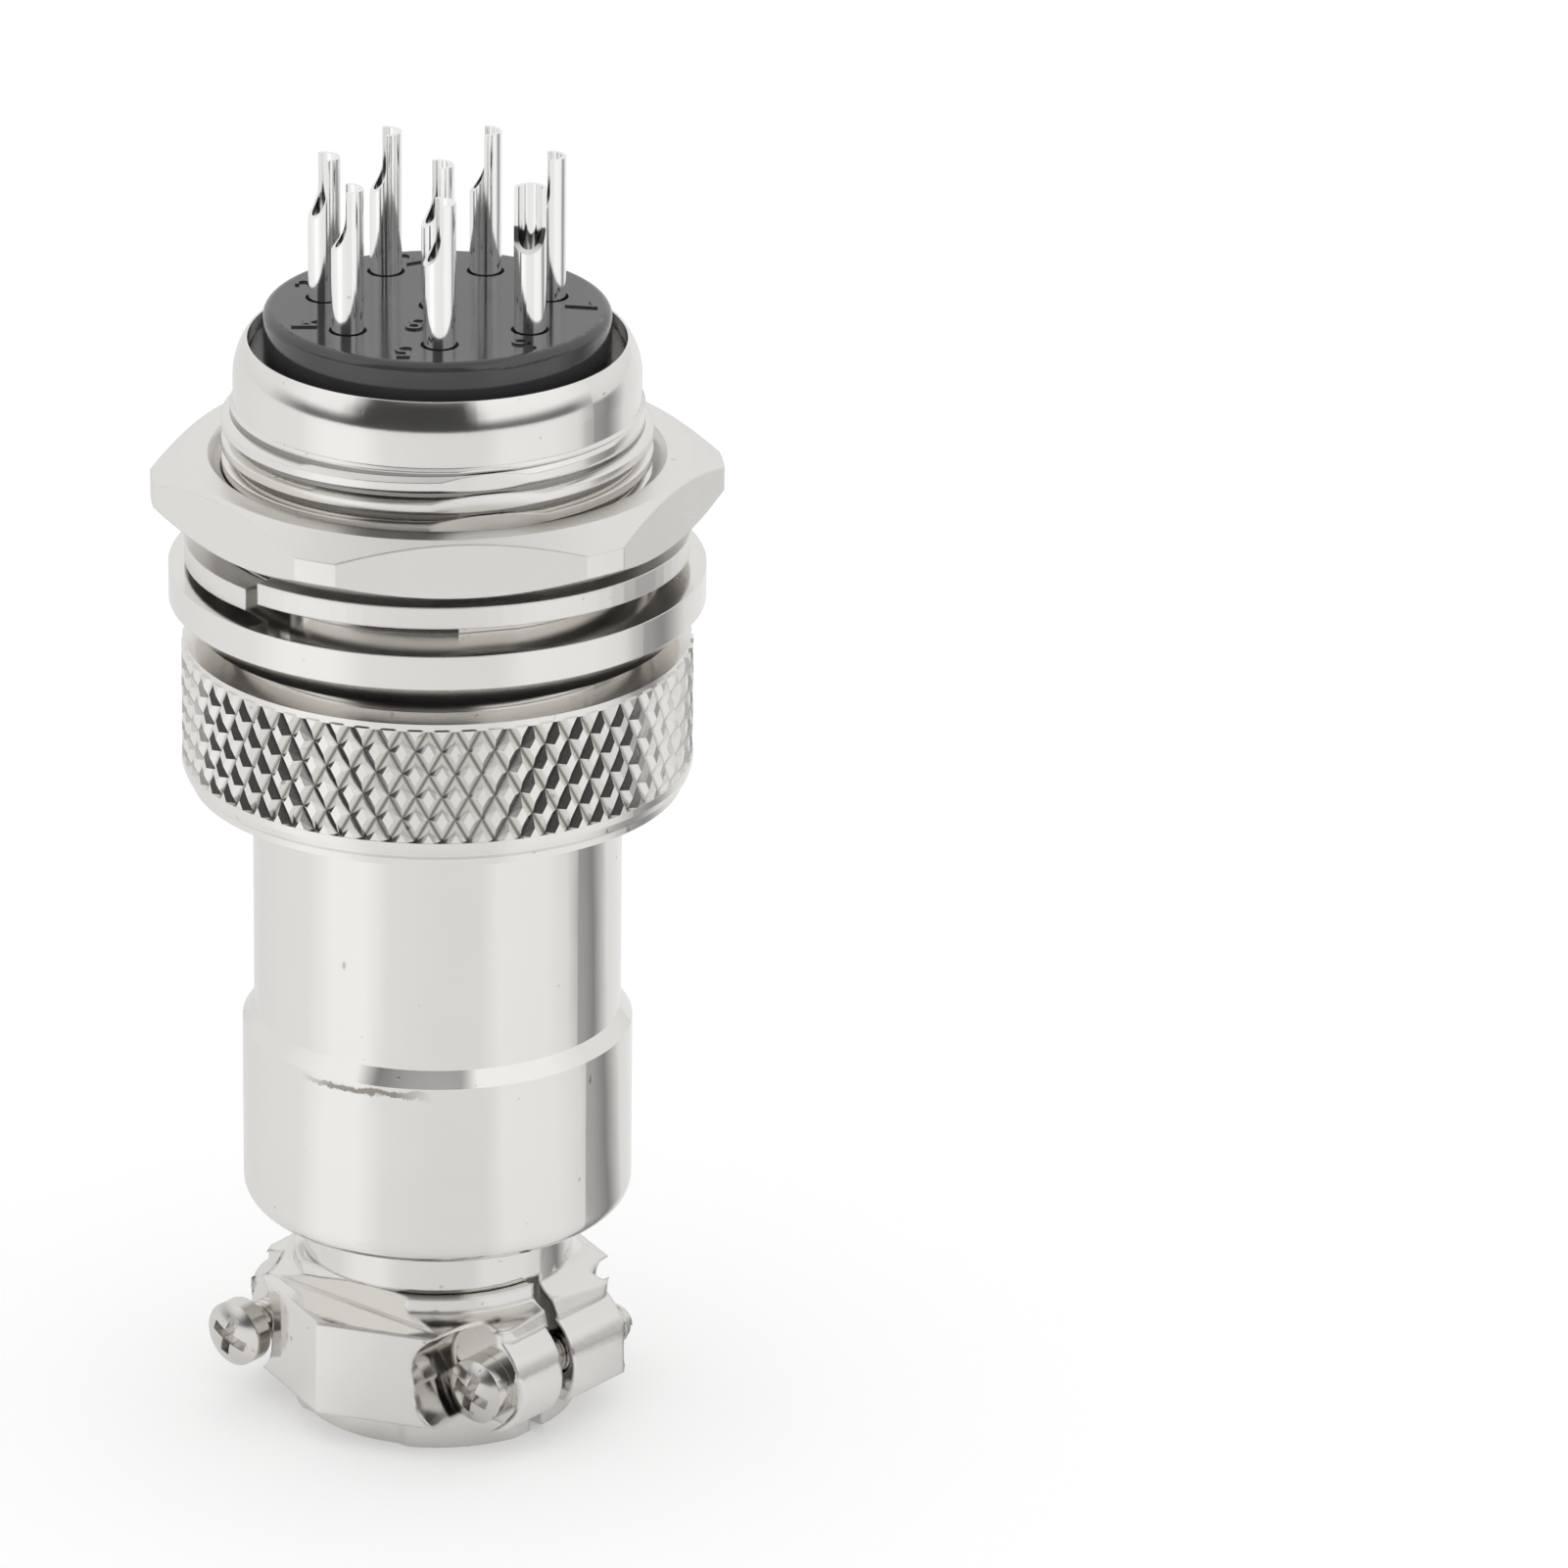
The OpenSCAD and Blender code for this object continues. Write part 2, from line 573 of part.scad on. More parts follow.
// Socket shell: keyed front barrel, bevelled flange, panel thread with a flat, rolled rim
module socket_shell() {
    thread_r = panel_thread_d/2;
    core_r = panel_core_d/2;
    chamfer = core_r - rim_d/2;
    rim_bend = rim_d/2 - rim_lip_d/2 - rim_land;
    round_z = rim_top - sqrt(pow(rim_round, 2) - pow(rim_round - rim_bend, 2));
    wall_r = wall_bore/2;
    color(metal) difference() {
        union() {
            translate([0, 0, socket_front]) cylinder(d = panel_thread_d, h = socket_barrel_len - 1);
            translate([0, 0, bevel_z - 1 - eps]) cylinder(r = thread_r - 0.5, h = 1 + 2*eps);
            cone(flange_d/2 - flange_bevel, bevel_z, flange_d/2, flange_z);
            translate([0, 0, flange_z]) cylinder(d = flange_d, h = flange_h);
            translate([0, 0, flange_top - eps]) cylinder(r = core_r, h = panel_thread_len - chamfer + eps);
            cone(core_r, thread_top - chamfer, rim_d/2, thread_top);
            translate([0, 0, thread_top - eps]) cylinder(d = rim_d, h = round_z - thread_top + eps);
            rotate_extrude() intersection() {
                translate([rim_d/2 - rim_round, round_z]) circle(r = rim_round);
                translate([wall_r - 0.8, round_z - eps]) square([rim_round, rim_top - round_z + eps]);
            }
        }
        translate([0, 0, socket_front - eps]) cylinder(d = socket_bore, h = socket_step_z - socket_front + eps);
        translate([0, 0, socket_front]) cylinder(d = socket_bore - 1.2, h = 2*panel_thread_len);
        translate([0, 0, socket_step_z + socket_step_h]) cylinder(r = wall_r, h = rim_top - 0.75 - socket_step_z - socket_step_h);
        translate([0, 0, socket_step_z + socket_step_h]) cylinder(d = rim_lip_d, h = 2*panel_thread_len);
        rotate([0, 0, thread_flat_angle]) translate([thread_flat, -thread_r, flange_top])
            cube([thread_r, 2*thread_r, panel_thread_len + 2*rim_h]);
    }
    color(metal) intersection() {
        translate([-key_w/2, socket_bore/2 - 0.4, socket_front + 1]) cube([key_w, 0.8, socket_step_z - socket_front - 1]);
        tube(panel_thread_d - 0.4, socket_bore - 0.8, socket_front, socket_step_z);
    }
}

// Black insert of the socket, held between the shell's inner step and the rolled rim
module socket_insulator() {
    top_r = insulator_boss_d/2;
    color(dark) difference() {
        union() {
            translate([0, 0, socket_face]) cylinder(d = socket_bore - 1.3, h = socket_step_z + socket_step_h - socket_face + eps);
            translate([0, 0, socket_step_z + socket_step_h]) cylinder(d = wall_bore, h = shoulder_z - socket_step_z - socket_step_h);
            rotate_extrude() union() {
                translate([0, shoulder_z - eps]) square([top_r, insulator_top - insulator_round - shoulder_z + eps]);
                translate([0, insulator_top - insulator_round - eps]) square([top_r - insulator_round, insulator_round + eps]);
                translate([top_r - insulator_round, insulator_top - insulator_round]) circle(r = insulator_round);
            }
        }
        at_contacts() {
            translate([0, 0, socket_face - eps]) cylinder(d = contact_d, h = 2*panel_thread_len);
            translate([0, 0, insulator_top - 0.25]) cylinder(d = contact_d + 0.26, h = 1);
        }
    }
}

// Male contact of the socket: rounded pin below, solder cup above
module socket_contact(i) {
    tip = contact_d/2;
    color(silver) translate(contact_place(i)) {
        translate([0, 0, pin_tip + tip]) sphere(d = contact_d);
        translate([0, 0, pin_tip + tip]) cylinder(d = contact_d, h = insulator_top - pin_tip - tip);
        translate([0, 0, insulator_top - eps]) rotate([0, 0, cup_facing[i]]) solder_cup(cup_reach + eps);
    }
}

// Split washer: a rectangular section that climbs by one step round the thread and leans a little
module lock_washer() {
    parts = 90;
    slit = 4;
    r_in = panel_thread_d/2 + 0.35;
    r_out = washer_d/2;
    lean_at = 56;
    section = [[r_in, 0], [r_out, 0], [r_out, washer_t], [r_in, washer_t]];
    function lift(u) = washer_float + washer_lean*cos(u - lean_at) + washer_rise*(1 - u/360);
    points = [for (i = [0:parts]) let (u = slit/2 + i*(360 - slit)/parts) for (p = section)
        [p[0]*cos(washer_split + u), p[0]*sin(washer_split + u), flange_top + lift(u) + p[1]]];
    sides = [for (i = [0:parts - 1]) for (c = [0:3]) let (d = (c + 1) % 4)
        each [[4*i + c, 4*i + d, 4*i + 4 + d], [4*i + c, 4*i + 4 + d, 4*i + 4 + c]]];
    ends = [[0, 3, 2, 1], [4*parts, 4*parts + 1, 4*parts + 2, 4*parts + 3]];
    color(metal) polyhedron(points = points, faces = concat(sides, ends));
}

// Panel nut with both faces chamfered to the corners
module panel_nut() {
    r_turned = nut_turned_d/2;
    r_flat = nut_af/2 - 0.25;
    drop = (r_turned - r_flat)*tan(30);
    bore_r = panel_core_d/2 + run;
    lead = 1;
    color(metal) intersection() {
        translate([0, 0, nut_z]) rotate([0, 0, nut_angle + 30]) cylinder(r = nut_af/sqrt(3), h = nut_h, $fn = 6);
        translate([0, 0, nut_z]) rotate_extrude() polygon([
            [bore_r + lead, 0], [r_flat, 0], [r_turned, drop], [r_turned, nut_h - drop], [r_flat, nut_h],
            [bore_r + lead, nut_h], [bore_r, nut_h - lead], [bore_r, lead]
        ]);
    }
}

clamp_body();
clamp_saddle();
clamp_screw_left();
clamp_screw_right();
rear_shell();
plug_core_shell();
plug_insulator();
plug_snap_ring();
coupling_ring();
for (i = [0:ring_contacts]) {
    plug_contact(i);
}
socket_shell();
socket_insulator();
lock_washer();
panel_nut();
for (i = [0:ring_contacts]) {
    socket_contact(i);
}
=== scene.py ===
"""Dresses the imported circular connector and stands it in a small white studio."""

import logging
import math
from dataclasses import dataclass
from enum import Enum

import bmesh
import bpy
from mathutils import Matrix, Vector


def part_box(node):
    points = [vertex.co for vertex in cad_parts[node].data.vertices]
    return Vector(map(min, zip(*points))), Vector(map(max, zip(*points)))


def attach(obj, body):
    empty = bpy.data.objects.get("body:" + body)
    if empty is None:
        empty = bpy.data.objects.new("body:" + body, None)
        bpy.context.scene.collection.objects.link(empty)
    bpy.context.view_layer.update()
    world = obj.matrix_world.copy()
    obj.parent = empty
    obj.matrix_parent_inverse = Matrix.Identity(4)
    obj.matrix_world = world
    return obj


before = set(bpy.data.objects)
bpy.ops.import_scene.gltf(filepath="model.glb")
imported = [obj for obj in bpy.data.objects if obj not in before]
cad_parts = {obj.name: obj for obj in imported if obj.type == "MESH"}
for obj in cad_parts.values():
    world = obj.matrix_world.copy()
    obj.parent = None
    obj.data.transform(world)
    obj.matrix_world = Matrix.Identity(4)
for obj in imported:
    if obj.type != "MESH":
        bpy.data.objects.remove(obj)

LOG = logging.getLogger("connector")

Colour = tuple[float, float, float]
Stops = tuple[tuple[float, float], ...]
Value = bpy.types.NodeSocket | float | tuple[float, ...]

MM = 0.001
WHITE = (1.0, 1.0, 1.0, 1.0)
MERGE_DISTANCE = 1e-7
SHARP_ANGLE = math.radians(28)

# Scales of the textures, per metre.
CLOUD_SCALE = 260
GRAIN_SCALE = 5200
PIT_SCALE = 1500
TURNED_SCALE = 9000
DRAWN_SCALE = 7000
CAST_SCALE = 900
RAGGED_SCALE = 1100
HAZE_SCALE = 420
RIPPLE_SCALE = 700
STREAK_SCALE = 70

# Drawn metal's marks run along Z: the texture is stretched that way.
DRAWN_STRETCH = (1, 1, 0.03)


class Axis(Enum):
    """Direction that a thread runs along."""

    UP = "Z"
    BACK = "Y"


class Lay(Enum):
    """How the tool marks lie on a plated surface."""

    TURNED = "turned"
    DRAWN = "drawn"
    CAST = "cast"


class Graph:
    """A material's or world's node tree, with short calls for the nodes used here."""

    def __init__(self, tree: bpy.types.NodeTree) -> None:
        """Empties the tree.

        Args:
            tree: The node tree to build in.
        """
        self.tree = tree
        self.tree.nodes.clear()

    def add(self, kind: str, **values: object) -> bpy.types.Node:
        """Adds one node.

        Args:
            kind: The node's type without its ShaderNode prefix.
            **values: Properties of the node, or values of its inputs written in_NAME.

        Returns:
            The new node.
        """
        node = self.tree.nodes.new("ShaderNode" + kind)
        for name, value in values.items():
            if name.startswith("in_"):
                node.inputs[name[3:].replace("_", " ")].default_value = value
            else:
                setattr(node, name, value)
        return node

    def link(self, out: bpy.types.NodeSocket, into: bpy.types.NodeSocket) -> None:
        """Joins two sockets."""
        self.tree.links.new(out, into)

    def feed(self, value: Value, into: bpy.types.NodeSocket) -> None:
        """Links a socket, or writes a plain value, into an input.

        Args:
            value: A socket, a number or a colour.
            into: The input that takes it.
        """
        if isinstance(value, bpy.types.NodeSocket):
            self.link(value, into)
        else:
            into.default_value = value

    def position(self) -> bpy.types.NodeSocket:
        """Gives the Object coordinates."""
        return self.add("TexCoord").outputs["Object"]

    def split(self, vector: bpy.types.NodeSocket) -> list[bpy.types.NodeSocket]:
        """Takes a vector apart.

        Args:
            vector: The vector.

        Returns:
            Its X, Y and Z.
        """
        node = self.add("SeparateXYZ")
        self.link(vector, node.inputs[0])
        return list(node.outputs)

    def math(self, operation: str, *values: Value, clamp: bool = False) -> bpy.types.NodeSocket:
        """Adds a Math node.

        Args:
            operation: The Math node's operation.
            *values: Its inputs, sockets or numbers.
            clamp: Whether the result is held between 0 and 1.

        Returns:
            The node's result.
        """
        node = self.add("Math", operation=operation, use_clamp=clamp)
        for index, value in enumerate(values):
            self.feed(value, node.inputs[index])
        return node.outputs[0]

    def sway(self, texture: bpy.types.NodeSocket, amount: float) -> bpy.types.NodeSocket:
        """Turns a texture into a value that swings to both sides of 0.

        Args:
            texture: A texture with a mean of 0.5.
            amount: How much one whole unit of it counts.

        Returns:
            The swinging value.
        """
        return self.math("MULTIPLY", self.math("SUBTRACT", texture, 0.5), amount)

    def ramp(self, value: Value, stops: Stops) -> bpy.types.NodeSocket:
        """Adds a grey Color Ramp.

        Args:
            value: The input, a socket or number between 0 and 1.
            stops: Pairs of position and grey level.

        Returns:
            The ramp's colour.
        """
        node = self.add("ValToRGB")
        elements = node.color_ramp.elements
        while len(elements) > 1:
            elements.remove(elements[-1])
        elements[0].position = stops[0][0]
        elements[0].color = (*[stops[0][1]] * 3, 1)
        for position, level in stops[1:]:
            elements.new(position).color = (*[level] * 3, 1)
        self.feed(value, node.inputs[0])
        return node.outputs[0]

    def mix(self, factor: Value, first: Value, second: Value, blend: str = "MIX") -> bpy.types.NodeSocket:
        """Adds a Mix node for colours.

        Args:
            factor: How much of the second colour there is.
            first: The first colour or socket.
            second: The second colour or socket.
            blend: The blend type.

        Returns:
            The mixed colour.
        """
        node = self.add("Mix", data_type="RGBA", blend_type=blend)
        # Inputs 6 and 7 are the node's two colours.
        self.feed(factor, node.inputs[0])
        self.feed(first, node.inputs[6])
        self.feed(second, node.inputs[7])
        return node.outputs[2]

    def noise(
        self, vector: bpy.types.NodeSocket, scale: float, detail: float = 3, rough: float = 0.5,
    ) -> bpy.types.NodeSocket:
        """Adds a Noise Texture.

        Args:
            vector: Where it is read.
            scale: Its scale, per metre.
            detail: Its octaves.
            rough: Its roughness.

        Returns:
            The noise's value.
        """
        node = self.add("TexNoise", in_Scale=scale, in_Detail=detail, in_Roughness=rough)
        self.link(vector, node.inputs["Vector"])
        return node.outputs[0]

    def band(self, value: bpy.types.NodeSocket, low: float, high: float, soft: float) -> bpy.types.NodeSocket:
        """Makes a mask that is 1 between two values.

        Args:
            value: The value that is tested.
            low: Where the mask starts.
            high: Where it ends.
            soft: The width of its soft edges.

        Returns:
            The mask.
        """
        rise = self.math("MULTIPLY", self.math("SUBTRACT", value, low - soft / 2), 1 / soft, clamp=True)
        fall = self.math("MULTIPLY", self.math("SUBTRACT", high + soft / 2, value), 1 / soft, clamp=True)
        return self.math("MULTIPLY", rise, fall)

    def mirrored(self) -> bpy.types.NodeSocket:
        """Gives 1 for a ray that a mirror sends out, otherwise 0."""
        return self.add("LightPath").outputs["Is Glossy Ray"]

    def show(self, shader: bpy.types.NodeSocket) -> None:
        """Ends a material's tree with its shader."""
        self.link(shader, self.add("OutputMaterial").inputs[0])


def blank_material(name: str) -> tuple[bpy.types.Material, Graph]:
    """Makes a material with an empty tree.

    Args:
        name: The material's name.

    Returns:
        The material and its tree.
    """
    material = bpy.data.materials.new(name)
    material.use_nodes = True
    return material, Graph(material.node_tree)


class Coat:
    """Shading of one plated surface, which layers are added to."""

    PALER = 1.035
    LEAST_ROUGH = 0.8
    ROUGH_SPREAD = 0.4

    def __init__(self, g: Graph, tint: Colour, roughness: float, grain: float) -> None:
        """Starts with the bare plating.

        Args:
            g: The material's tree.
            tint: The plating's colour.
            roughness: Its mean roughness.
            grain: Depth of its fine grain, in metres.
        """
        self.g = g
        self.place = g.position()
        self.x, self.y, self.z = g.split(self.place)
        squares = g.math("ADD", g.math("MULTIPLY", self.x, self.x), g.math("MULTIPLY", self.y, self.y))
        self.radius = g.math("SQRT", squares)
        cloud = g.noise(self.place, CLOUD_SCALE, 2)
        pale = tuple(min(1.0, c * self.PALER) for c in tint)
        self.colour = g.mix(cloud, (*tint, 1), (*pale, 1))
        spread = g.math("MULTIPLY", cloud, roughness * self.ROUGH_SPREAD)
        self.rough = g.math("ADD", roughness * self.LEAST_ROUGH, spread)
        self.height = g.math("MULTIPLY", g.noise(self.place, GRAIN_SCALE, 4, 0.6), grain)

    def stain_and_shade(self, mask: bpy.types.NodeSocket, share: float, colour: Colour) -> None:
        """Colours the masked part, for real pits and wear and for painted shade in the grooves.

        Args:
            mask: Where the colour goes.
            share: How strong it is.
            colour: Its colour.
        """
        self.colour = self.g.mix(self.g.math("MULTIPLY", mask, share), self.colour, (*colour, 1))

    def roughen(self, amount: bpy.types.NodeSocket) -> None:
        """Adds to the roughness."""
        self.rough = self.g.math("ADD", self.rough, amount)

    def lift(self, texture: bpy.types.NodeSocket, depth: float) -> None:
        """Raises the surface by a texture, with its depth in metres."""
        self.height = self.g.math("ADD", self.height, self.g.math("MULTIPLY", texture, depth))

    def sink(self, mask: bpy.types.NodeSocket, depth: float) -> None:
        """Lowers the masked part, with its depth in metres."""
        self.height = self.g.math("SUBTRACT", self.height, self.g.math("MULTIPLY", mask, depth))

    def close(self, soft_edge: float) -> None:
        """Ends the material.

        Args:
            soft_edge: Radius that the edges are shaded with, in metres.
        """
        g = self.g
        shader = g.add("BsdfPrincipled", in_Metallic=1.0)
        bump = g.add("Bump", in_Strength=1.0, in_Distance=1.0)
        g.link(self.height, bump.inputs["Height"])
        if soft_edge:
            edges = g.add("Bevel", samples=6, in_Radius=soft_edge)
            g.link(edges.outputs[0], bump.inputs["Normal"])
        g.link(bump.outputs[0], shader.inputs["Normal"])
        g.link(self.colour, shader.inputs["Base Color"])
        g.link(self.rough, shader.inputs["Roughness"])
        g.show(shader.outputs[0])


@dataclass(frozen=True)
class Pits:
    """Small dark pits in the plating.

    Attributes:
        share: Roughly the share of the surface that they take.
        threshold: Noise level that a pit starts at when the share is 0.
        sharpness: How steep their edges are.
        depth: Their depth, in metres.
        stain_and_shade: How strong their colour is.
        colour: Their colour.
    """

    share: float = 0.02
    threshold: float = 0.79
    sharpness: float = 14
    depth: float = 6e-6
    stain_and_shade: float = 0.55
    colour: Colour = (0.2, 0.18, 0.16)

    def add(self, coat: Coat) -> None:
        """Scatters the pits.

        Args:
            coat: The coat that gets them.
        """
        g = coat.g
        spots = g.math("SUBTRACT", g.noise(coat.place, PIT_SCALE, 1), self.threshold - self.share)
        pits = g.math("MULTIPLY", spots, self.sharpness, clamp=True)
        coat.stain_and_shade(pits, self.stain_and_shade, self.colour)
        coat.sink(pits, self.depth)


@dataclass(frozen=True)
class WornPatch:
    """Ragged plating in a short arc around the sleeve, below its step.

    Attributes:
        low: Lower edge, in mm.
        high: Upper edge, in mm.
        soft: Width of its soft upper and lower edge, in mm.
        first: Angle that it starts at, in radians.
        last: Angle that it ends at, in radians.
        fade: Angle that its ends fade over, in radians.
        ragged: How far its edges wander, in mm.
        depth: Depth of the worn part, in metres.
        rougher: How much rougher it is.
        stain_and_shade: How strong its colour is.
        colour: Its colour.
    """

    low: float = 19.0
    high: float = 19.35
    soft: float = 0.1
    first: float = -1.52
    last: float = -0.98
    fade: float = 0.2
    ragged: float = 1.1
    depth: float = 12e-6
    rougher: float = 0.3
    stain_and_shade: float = 0.8
    colour: Colour = (0.23, 0.2, 0.17)

    def add(self, coat: Coat) -> None:
        """Wears the coat.

        Args:
            coat: The coat that is worn.
        """
        g = coat.g
        edge = g.math("ADD", coat.z, g.sway(g.noise(coat.place, RAGGED_SCALE, 4, 0.7), self.ragged * MM))
        level = g.band(edge, self.low * MM, self.high * MM, self.soft * MM)
        arc = g.band(g.math("ARCTAN2", coat.y, coat.x), self.first, self.last, self.fade)
        worn = g.math("MULTIPLY", level, arc)
        coat.stain_and_shade(worn, self.stain_and_shade, self.colour)
        coat.roughen(g.math("MULTIPLY", worn, self.rougher))
        coat.sink(worn, self.depth)


@dataclass(frozen=True)
class GrooveShade:
    """Painted shade at the bottom of a knurl's or a thread's groove, darker the deeper the surface lies under
    the outer radius.

    Attributes:
        outer: Radius that they start at, in mm.
        fade: Depth over which they turn dark, in mm.
        low: Lower end, in mm.
        high: Upper end, in mm.
        soft: Width of their soft ends, in mm.
        stain_and_shade: How strong the painted shade is.
        colour: Colour of the painted shade.
    """

    outer: float
    fade: float
    low: float
    high: float
    soft: float = 0.05
    stain_and_shade: float = 0.72
    colour: Colour = (0.09, 0.085, 0.08)

    def add(self, coat: Coat) -> None:
        """Paints shade into the coat's colour at the bottom of each groove.

        Args:
            coat: The coat that gets the painted shade.
        """
        g = coat.g
        depth = g.math("SUBTRACT", self.outer * MM, coat.radius)
        shade_mask = g.math("MULTIPLY", depth, 1 / (self.fade * MM), clamp=True)
        shade_mask = g.math("MULTIPLY", shade_mask, g.band(coat.z, self.low * MM, self.high * MM, self.soft * MM))
        # Painted shade: the colour turns dark where the surface lies deep in a groove.
        coat.stain_and_shade(shade_mask, self.stain_and_shade, self.colour)


@dataclass(frozen=True)
class NickelPlate:
    """Nickel plating over turned, drawn or cast metal.

    Attributes:
        name: The material's name.
        tint: Its colour.
        roughness: Its mean roughness.
        lay: How its tool marks lie.
        marks: Depth of the tool marks, in metres.
        grain: Depth of the fine grain, in metres.
        pits: The pits in it.
        soft_edge: Radius that its edges are shaded with, in mm.
        ring_rough: How much the lathe's rings sway the roughness, as a share of it.
        worn: A patch of worn plating, if there is one.
        groove_shade: Painted shade at the bottom of each groove, if there is some.
    """

    name: str
    tint: Colour
    roughness: float
    lay: Lay = Lay.TURNED
    marks: float = 0.4e-6
    grain: float = 0.3e-6
    pits: Pits = Pits()
    soft_edge: float = 0.0
    ring_rough: float = 0.5
    worn: WornPatch | None = None
    groove_shade: GrooveShade | None = None

    def add_marks(self, coat: Coat) -> None:
        """Lays the marks: rings of the lathe, lines of drawing or the lumps of a casting.

        Args:
            coat: The coat that gets them.
        """
        g = coat.g
        if self.lay is Lay.TURNED:
            profile = g.add("CombineXYZ")
            g.link(coat.radius, profile.inputs[0])
            g.link(coat.z, profile.inputs[1])
            lines = g.noise(profile.outputs[0], TURNED_SCALE, 3, 0.7)
            coat.roughen(g.sway(lines, self.roughness * self.ring_rough))
        elif self.lay is Lay.DRAWN:
            stretch = g.add("Mapping", in_Scale=DRAWN_STRETCH)
            g.link(coat.place, stretch.inputs[0])
            lines = g.noise(stretch.outputs[0], DRAWN_SCALE, 2)
        else:
            lines = g.noise(coat.place, CAST_SCALE, 3)
        coat.lift(lines, self.marks)

    def build(self) -> bpy.types.Material:
        """Builds the material.

        Returns:
            The finished material.
        """
        material, g = blank_material(self.name)
        coat = Coat(g, self.tint, self.roughness, self.grain)
        self.pits.add(coat)
        self.add_marks(coat)
        if self.worn:
            self.worn.add(coat)
        # Painted shade goes into the colour at the bottom of the knurl or the thread.
        if self.groove_shade:
            self.groove_shade.add(coat)
        coat.close(self.soft_edge * MM)
        return material


@dataclass(frozen=True)
class BlackThermoset:
    """Glossy black moulding of the inserts.

    Attributes:
        name: The material's name.
        roughness: Its mean roughness.
        least_rough: Share of it that the smoothest spots have.
        rough_spread: Share of it that the haze adds.
        dark: Its darker colour.
        pale: Its paler colour.
        ripple: Depth of its ripples, in metres.
    """

    name: str = "black_thermoset"
    roughness: float = 0.1
    least_rough: float = 0.7
    rough_spread: float = 0.6
    dark: Colour = (0.034, 0.034, 0.035)
    pale: Colour = (0.054, 0.054, 0.055)
    ripple: float = 2e-6

    def build(self) -> bpy.types.Material:
        """Builds the material.

        Returns:
            The finished material.
        """
        material, g = blank_material(self.name)
        place = g.position()
        shader = g.add("BsdfPrincipled", in_IOR=1.58)
        haze = g.noise(place, HAZE_SCALE, 3)
        g.link(g.mix(haze, (*self.dark, 1), (*self.pale, 1)), shader.inputs["Base Color"])
        spread = g.math("MULTIPLY", haze, self.roughness * self.rough_spread)
        rough = g.math("ADD", self.roughness * self.least_rough, spread)
        g.link(rough, shader.inputs["Roughness"])
        bump = g.add("Bump", in_Strength=1.0, in_Distance=1.0)
        g.link(g.math("MULTIPLY", g.noise(place, RIPPLE_SCALE, 2), self.ripple), bump.inputs["Height"])
        g.link(bump.outputs[0], shader.inputs["Normal"])
        g.show(shader.outputs[0])
        return material


class Finishes:
    """The finishes of this connector, built once and shared."""

    def __init__(self) -> None:
        """Builds every finish."""
        nickel = (0.81, 0.793, 0.765)
        self.sleeve = NickelPlate("sleeve_nickel", nickel, 0.07, marks=0.25e-6, worn=WornPatch()).build()
        self.knurl = NickelPlate(
            "knurl_nickel", nickel, 0.17, marks=0.3e-6, grain=2.0e-6, pits=Pits(0.06),
            # Painted shade darkens the bottoms of the knurl.
            groove_shade=GrooveShade(outer=11.73, fade=0.16, low=32.9, high=38.4),
        ).build()
        self.turned = NickelPlate(
            "turned_nickel", nickel, 0.3, marks=0.9e-6, grain=0.6e-6, soft_edge=0.12,
        ).build()
        self.rim = NickelPlate(
            "rim_nickel", nickel, 0.14, marks=0.6e-6, grain=0.8e-6, pits=Pits(0.04), soft_edge=0.08,
            # Painted shade darkens the roots of the panel thread.
            groove_shade=GrooveShade(outer=9.612, fade=0.008, low=43.5, high=50.2),
        ).build()
        self.cast = NickelPlate(
            "cast_nickel", (0.78, 0.763, 0.736), 0.08, Lay.CAST, marks=12e-6, grain=1.0e-6, pits=Pits(0.05),
            soft_edge=0.28,
        ).build()
        self.screw = NickelPlate(
            "screw_nickel", (0.7, 0.68, 0.65), 0.2, Lay.CAST, marks=10e-6, grain=2.0e-6, pits=Pits(0.05),
            soft_edge=0.08,
        ).build()
        self.contact = NickelPlate(
            "contact_silver", (0.93, 0.93, 0.92), 0.12, Lay.DRAWN, marks=4e-6, grain=0.6e-6, pits=Pits(0.0),
        ).build()
        self.insert = BlackThermoset().build()

    def dress(self, material: bpy.types.Material, *nodes: str) -> list[bpy.types.Object]:
        """Gives every slot of some CAD nodes one finish.

        Args:
            material: The finish.
            *nodes: The nodes' names.

        Returns:
            The nodes' objects.
        """
        dressed = [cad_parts[node] for node in nodes]
        for piece in dressed:
            piece.data.materials.clear()
            piece.data.materials.append(material)
        return dressed


def finish_mesh(
    bm: bmesh.types.BMesh, name: str, material: bpy.types.Material, body: str,
) -> bpy.types.Object:
    """Turns a bmesh into a piece that rides on a body.

    Args:
        bm: The shape, in place, in metres. It is freed.
        name: The piece's name.
        material: Its finish.
        body: The body that it rides on.

    Returns:
        The piece.
    """
    bmesh.ops.remove_doubles(bm, verts=bm.verts[:], dist=MERGE_DISTANCE)
    bmesh.ops.recalc_face_normals(bm, faces=bm.faces[:])
    mesh = bpy.data.meshes.new(name)
    bm.to_mesh(mesh)
    bm.free()
    mesh.materials.append(material)
    mesh.shade_smooth()
    mesh.set_sharp_from_angle(angle=SHARP_ANGLE)
    piece = bpy.data.objects.new(name, mesh)
    bpy.context.scene.collection.objects.link(piece)
    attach(piece, body)
    return piece


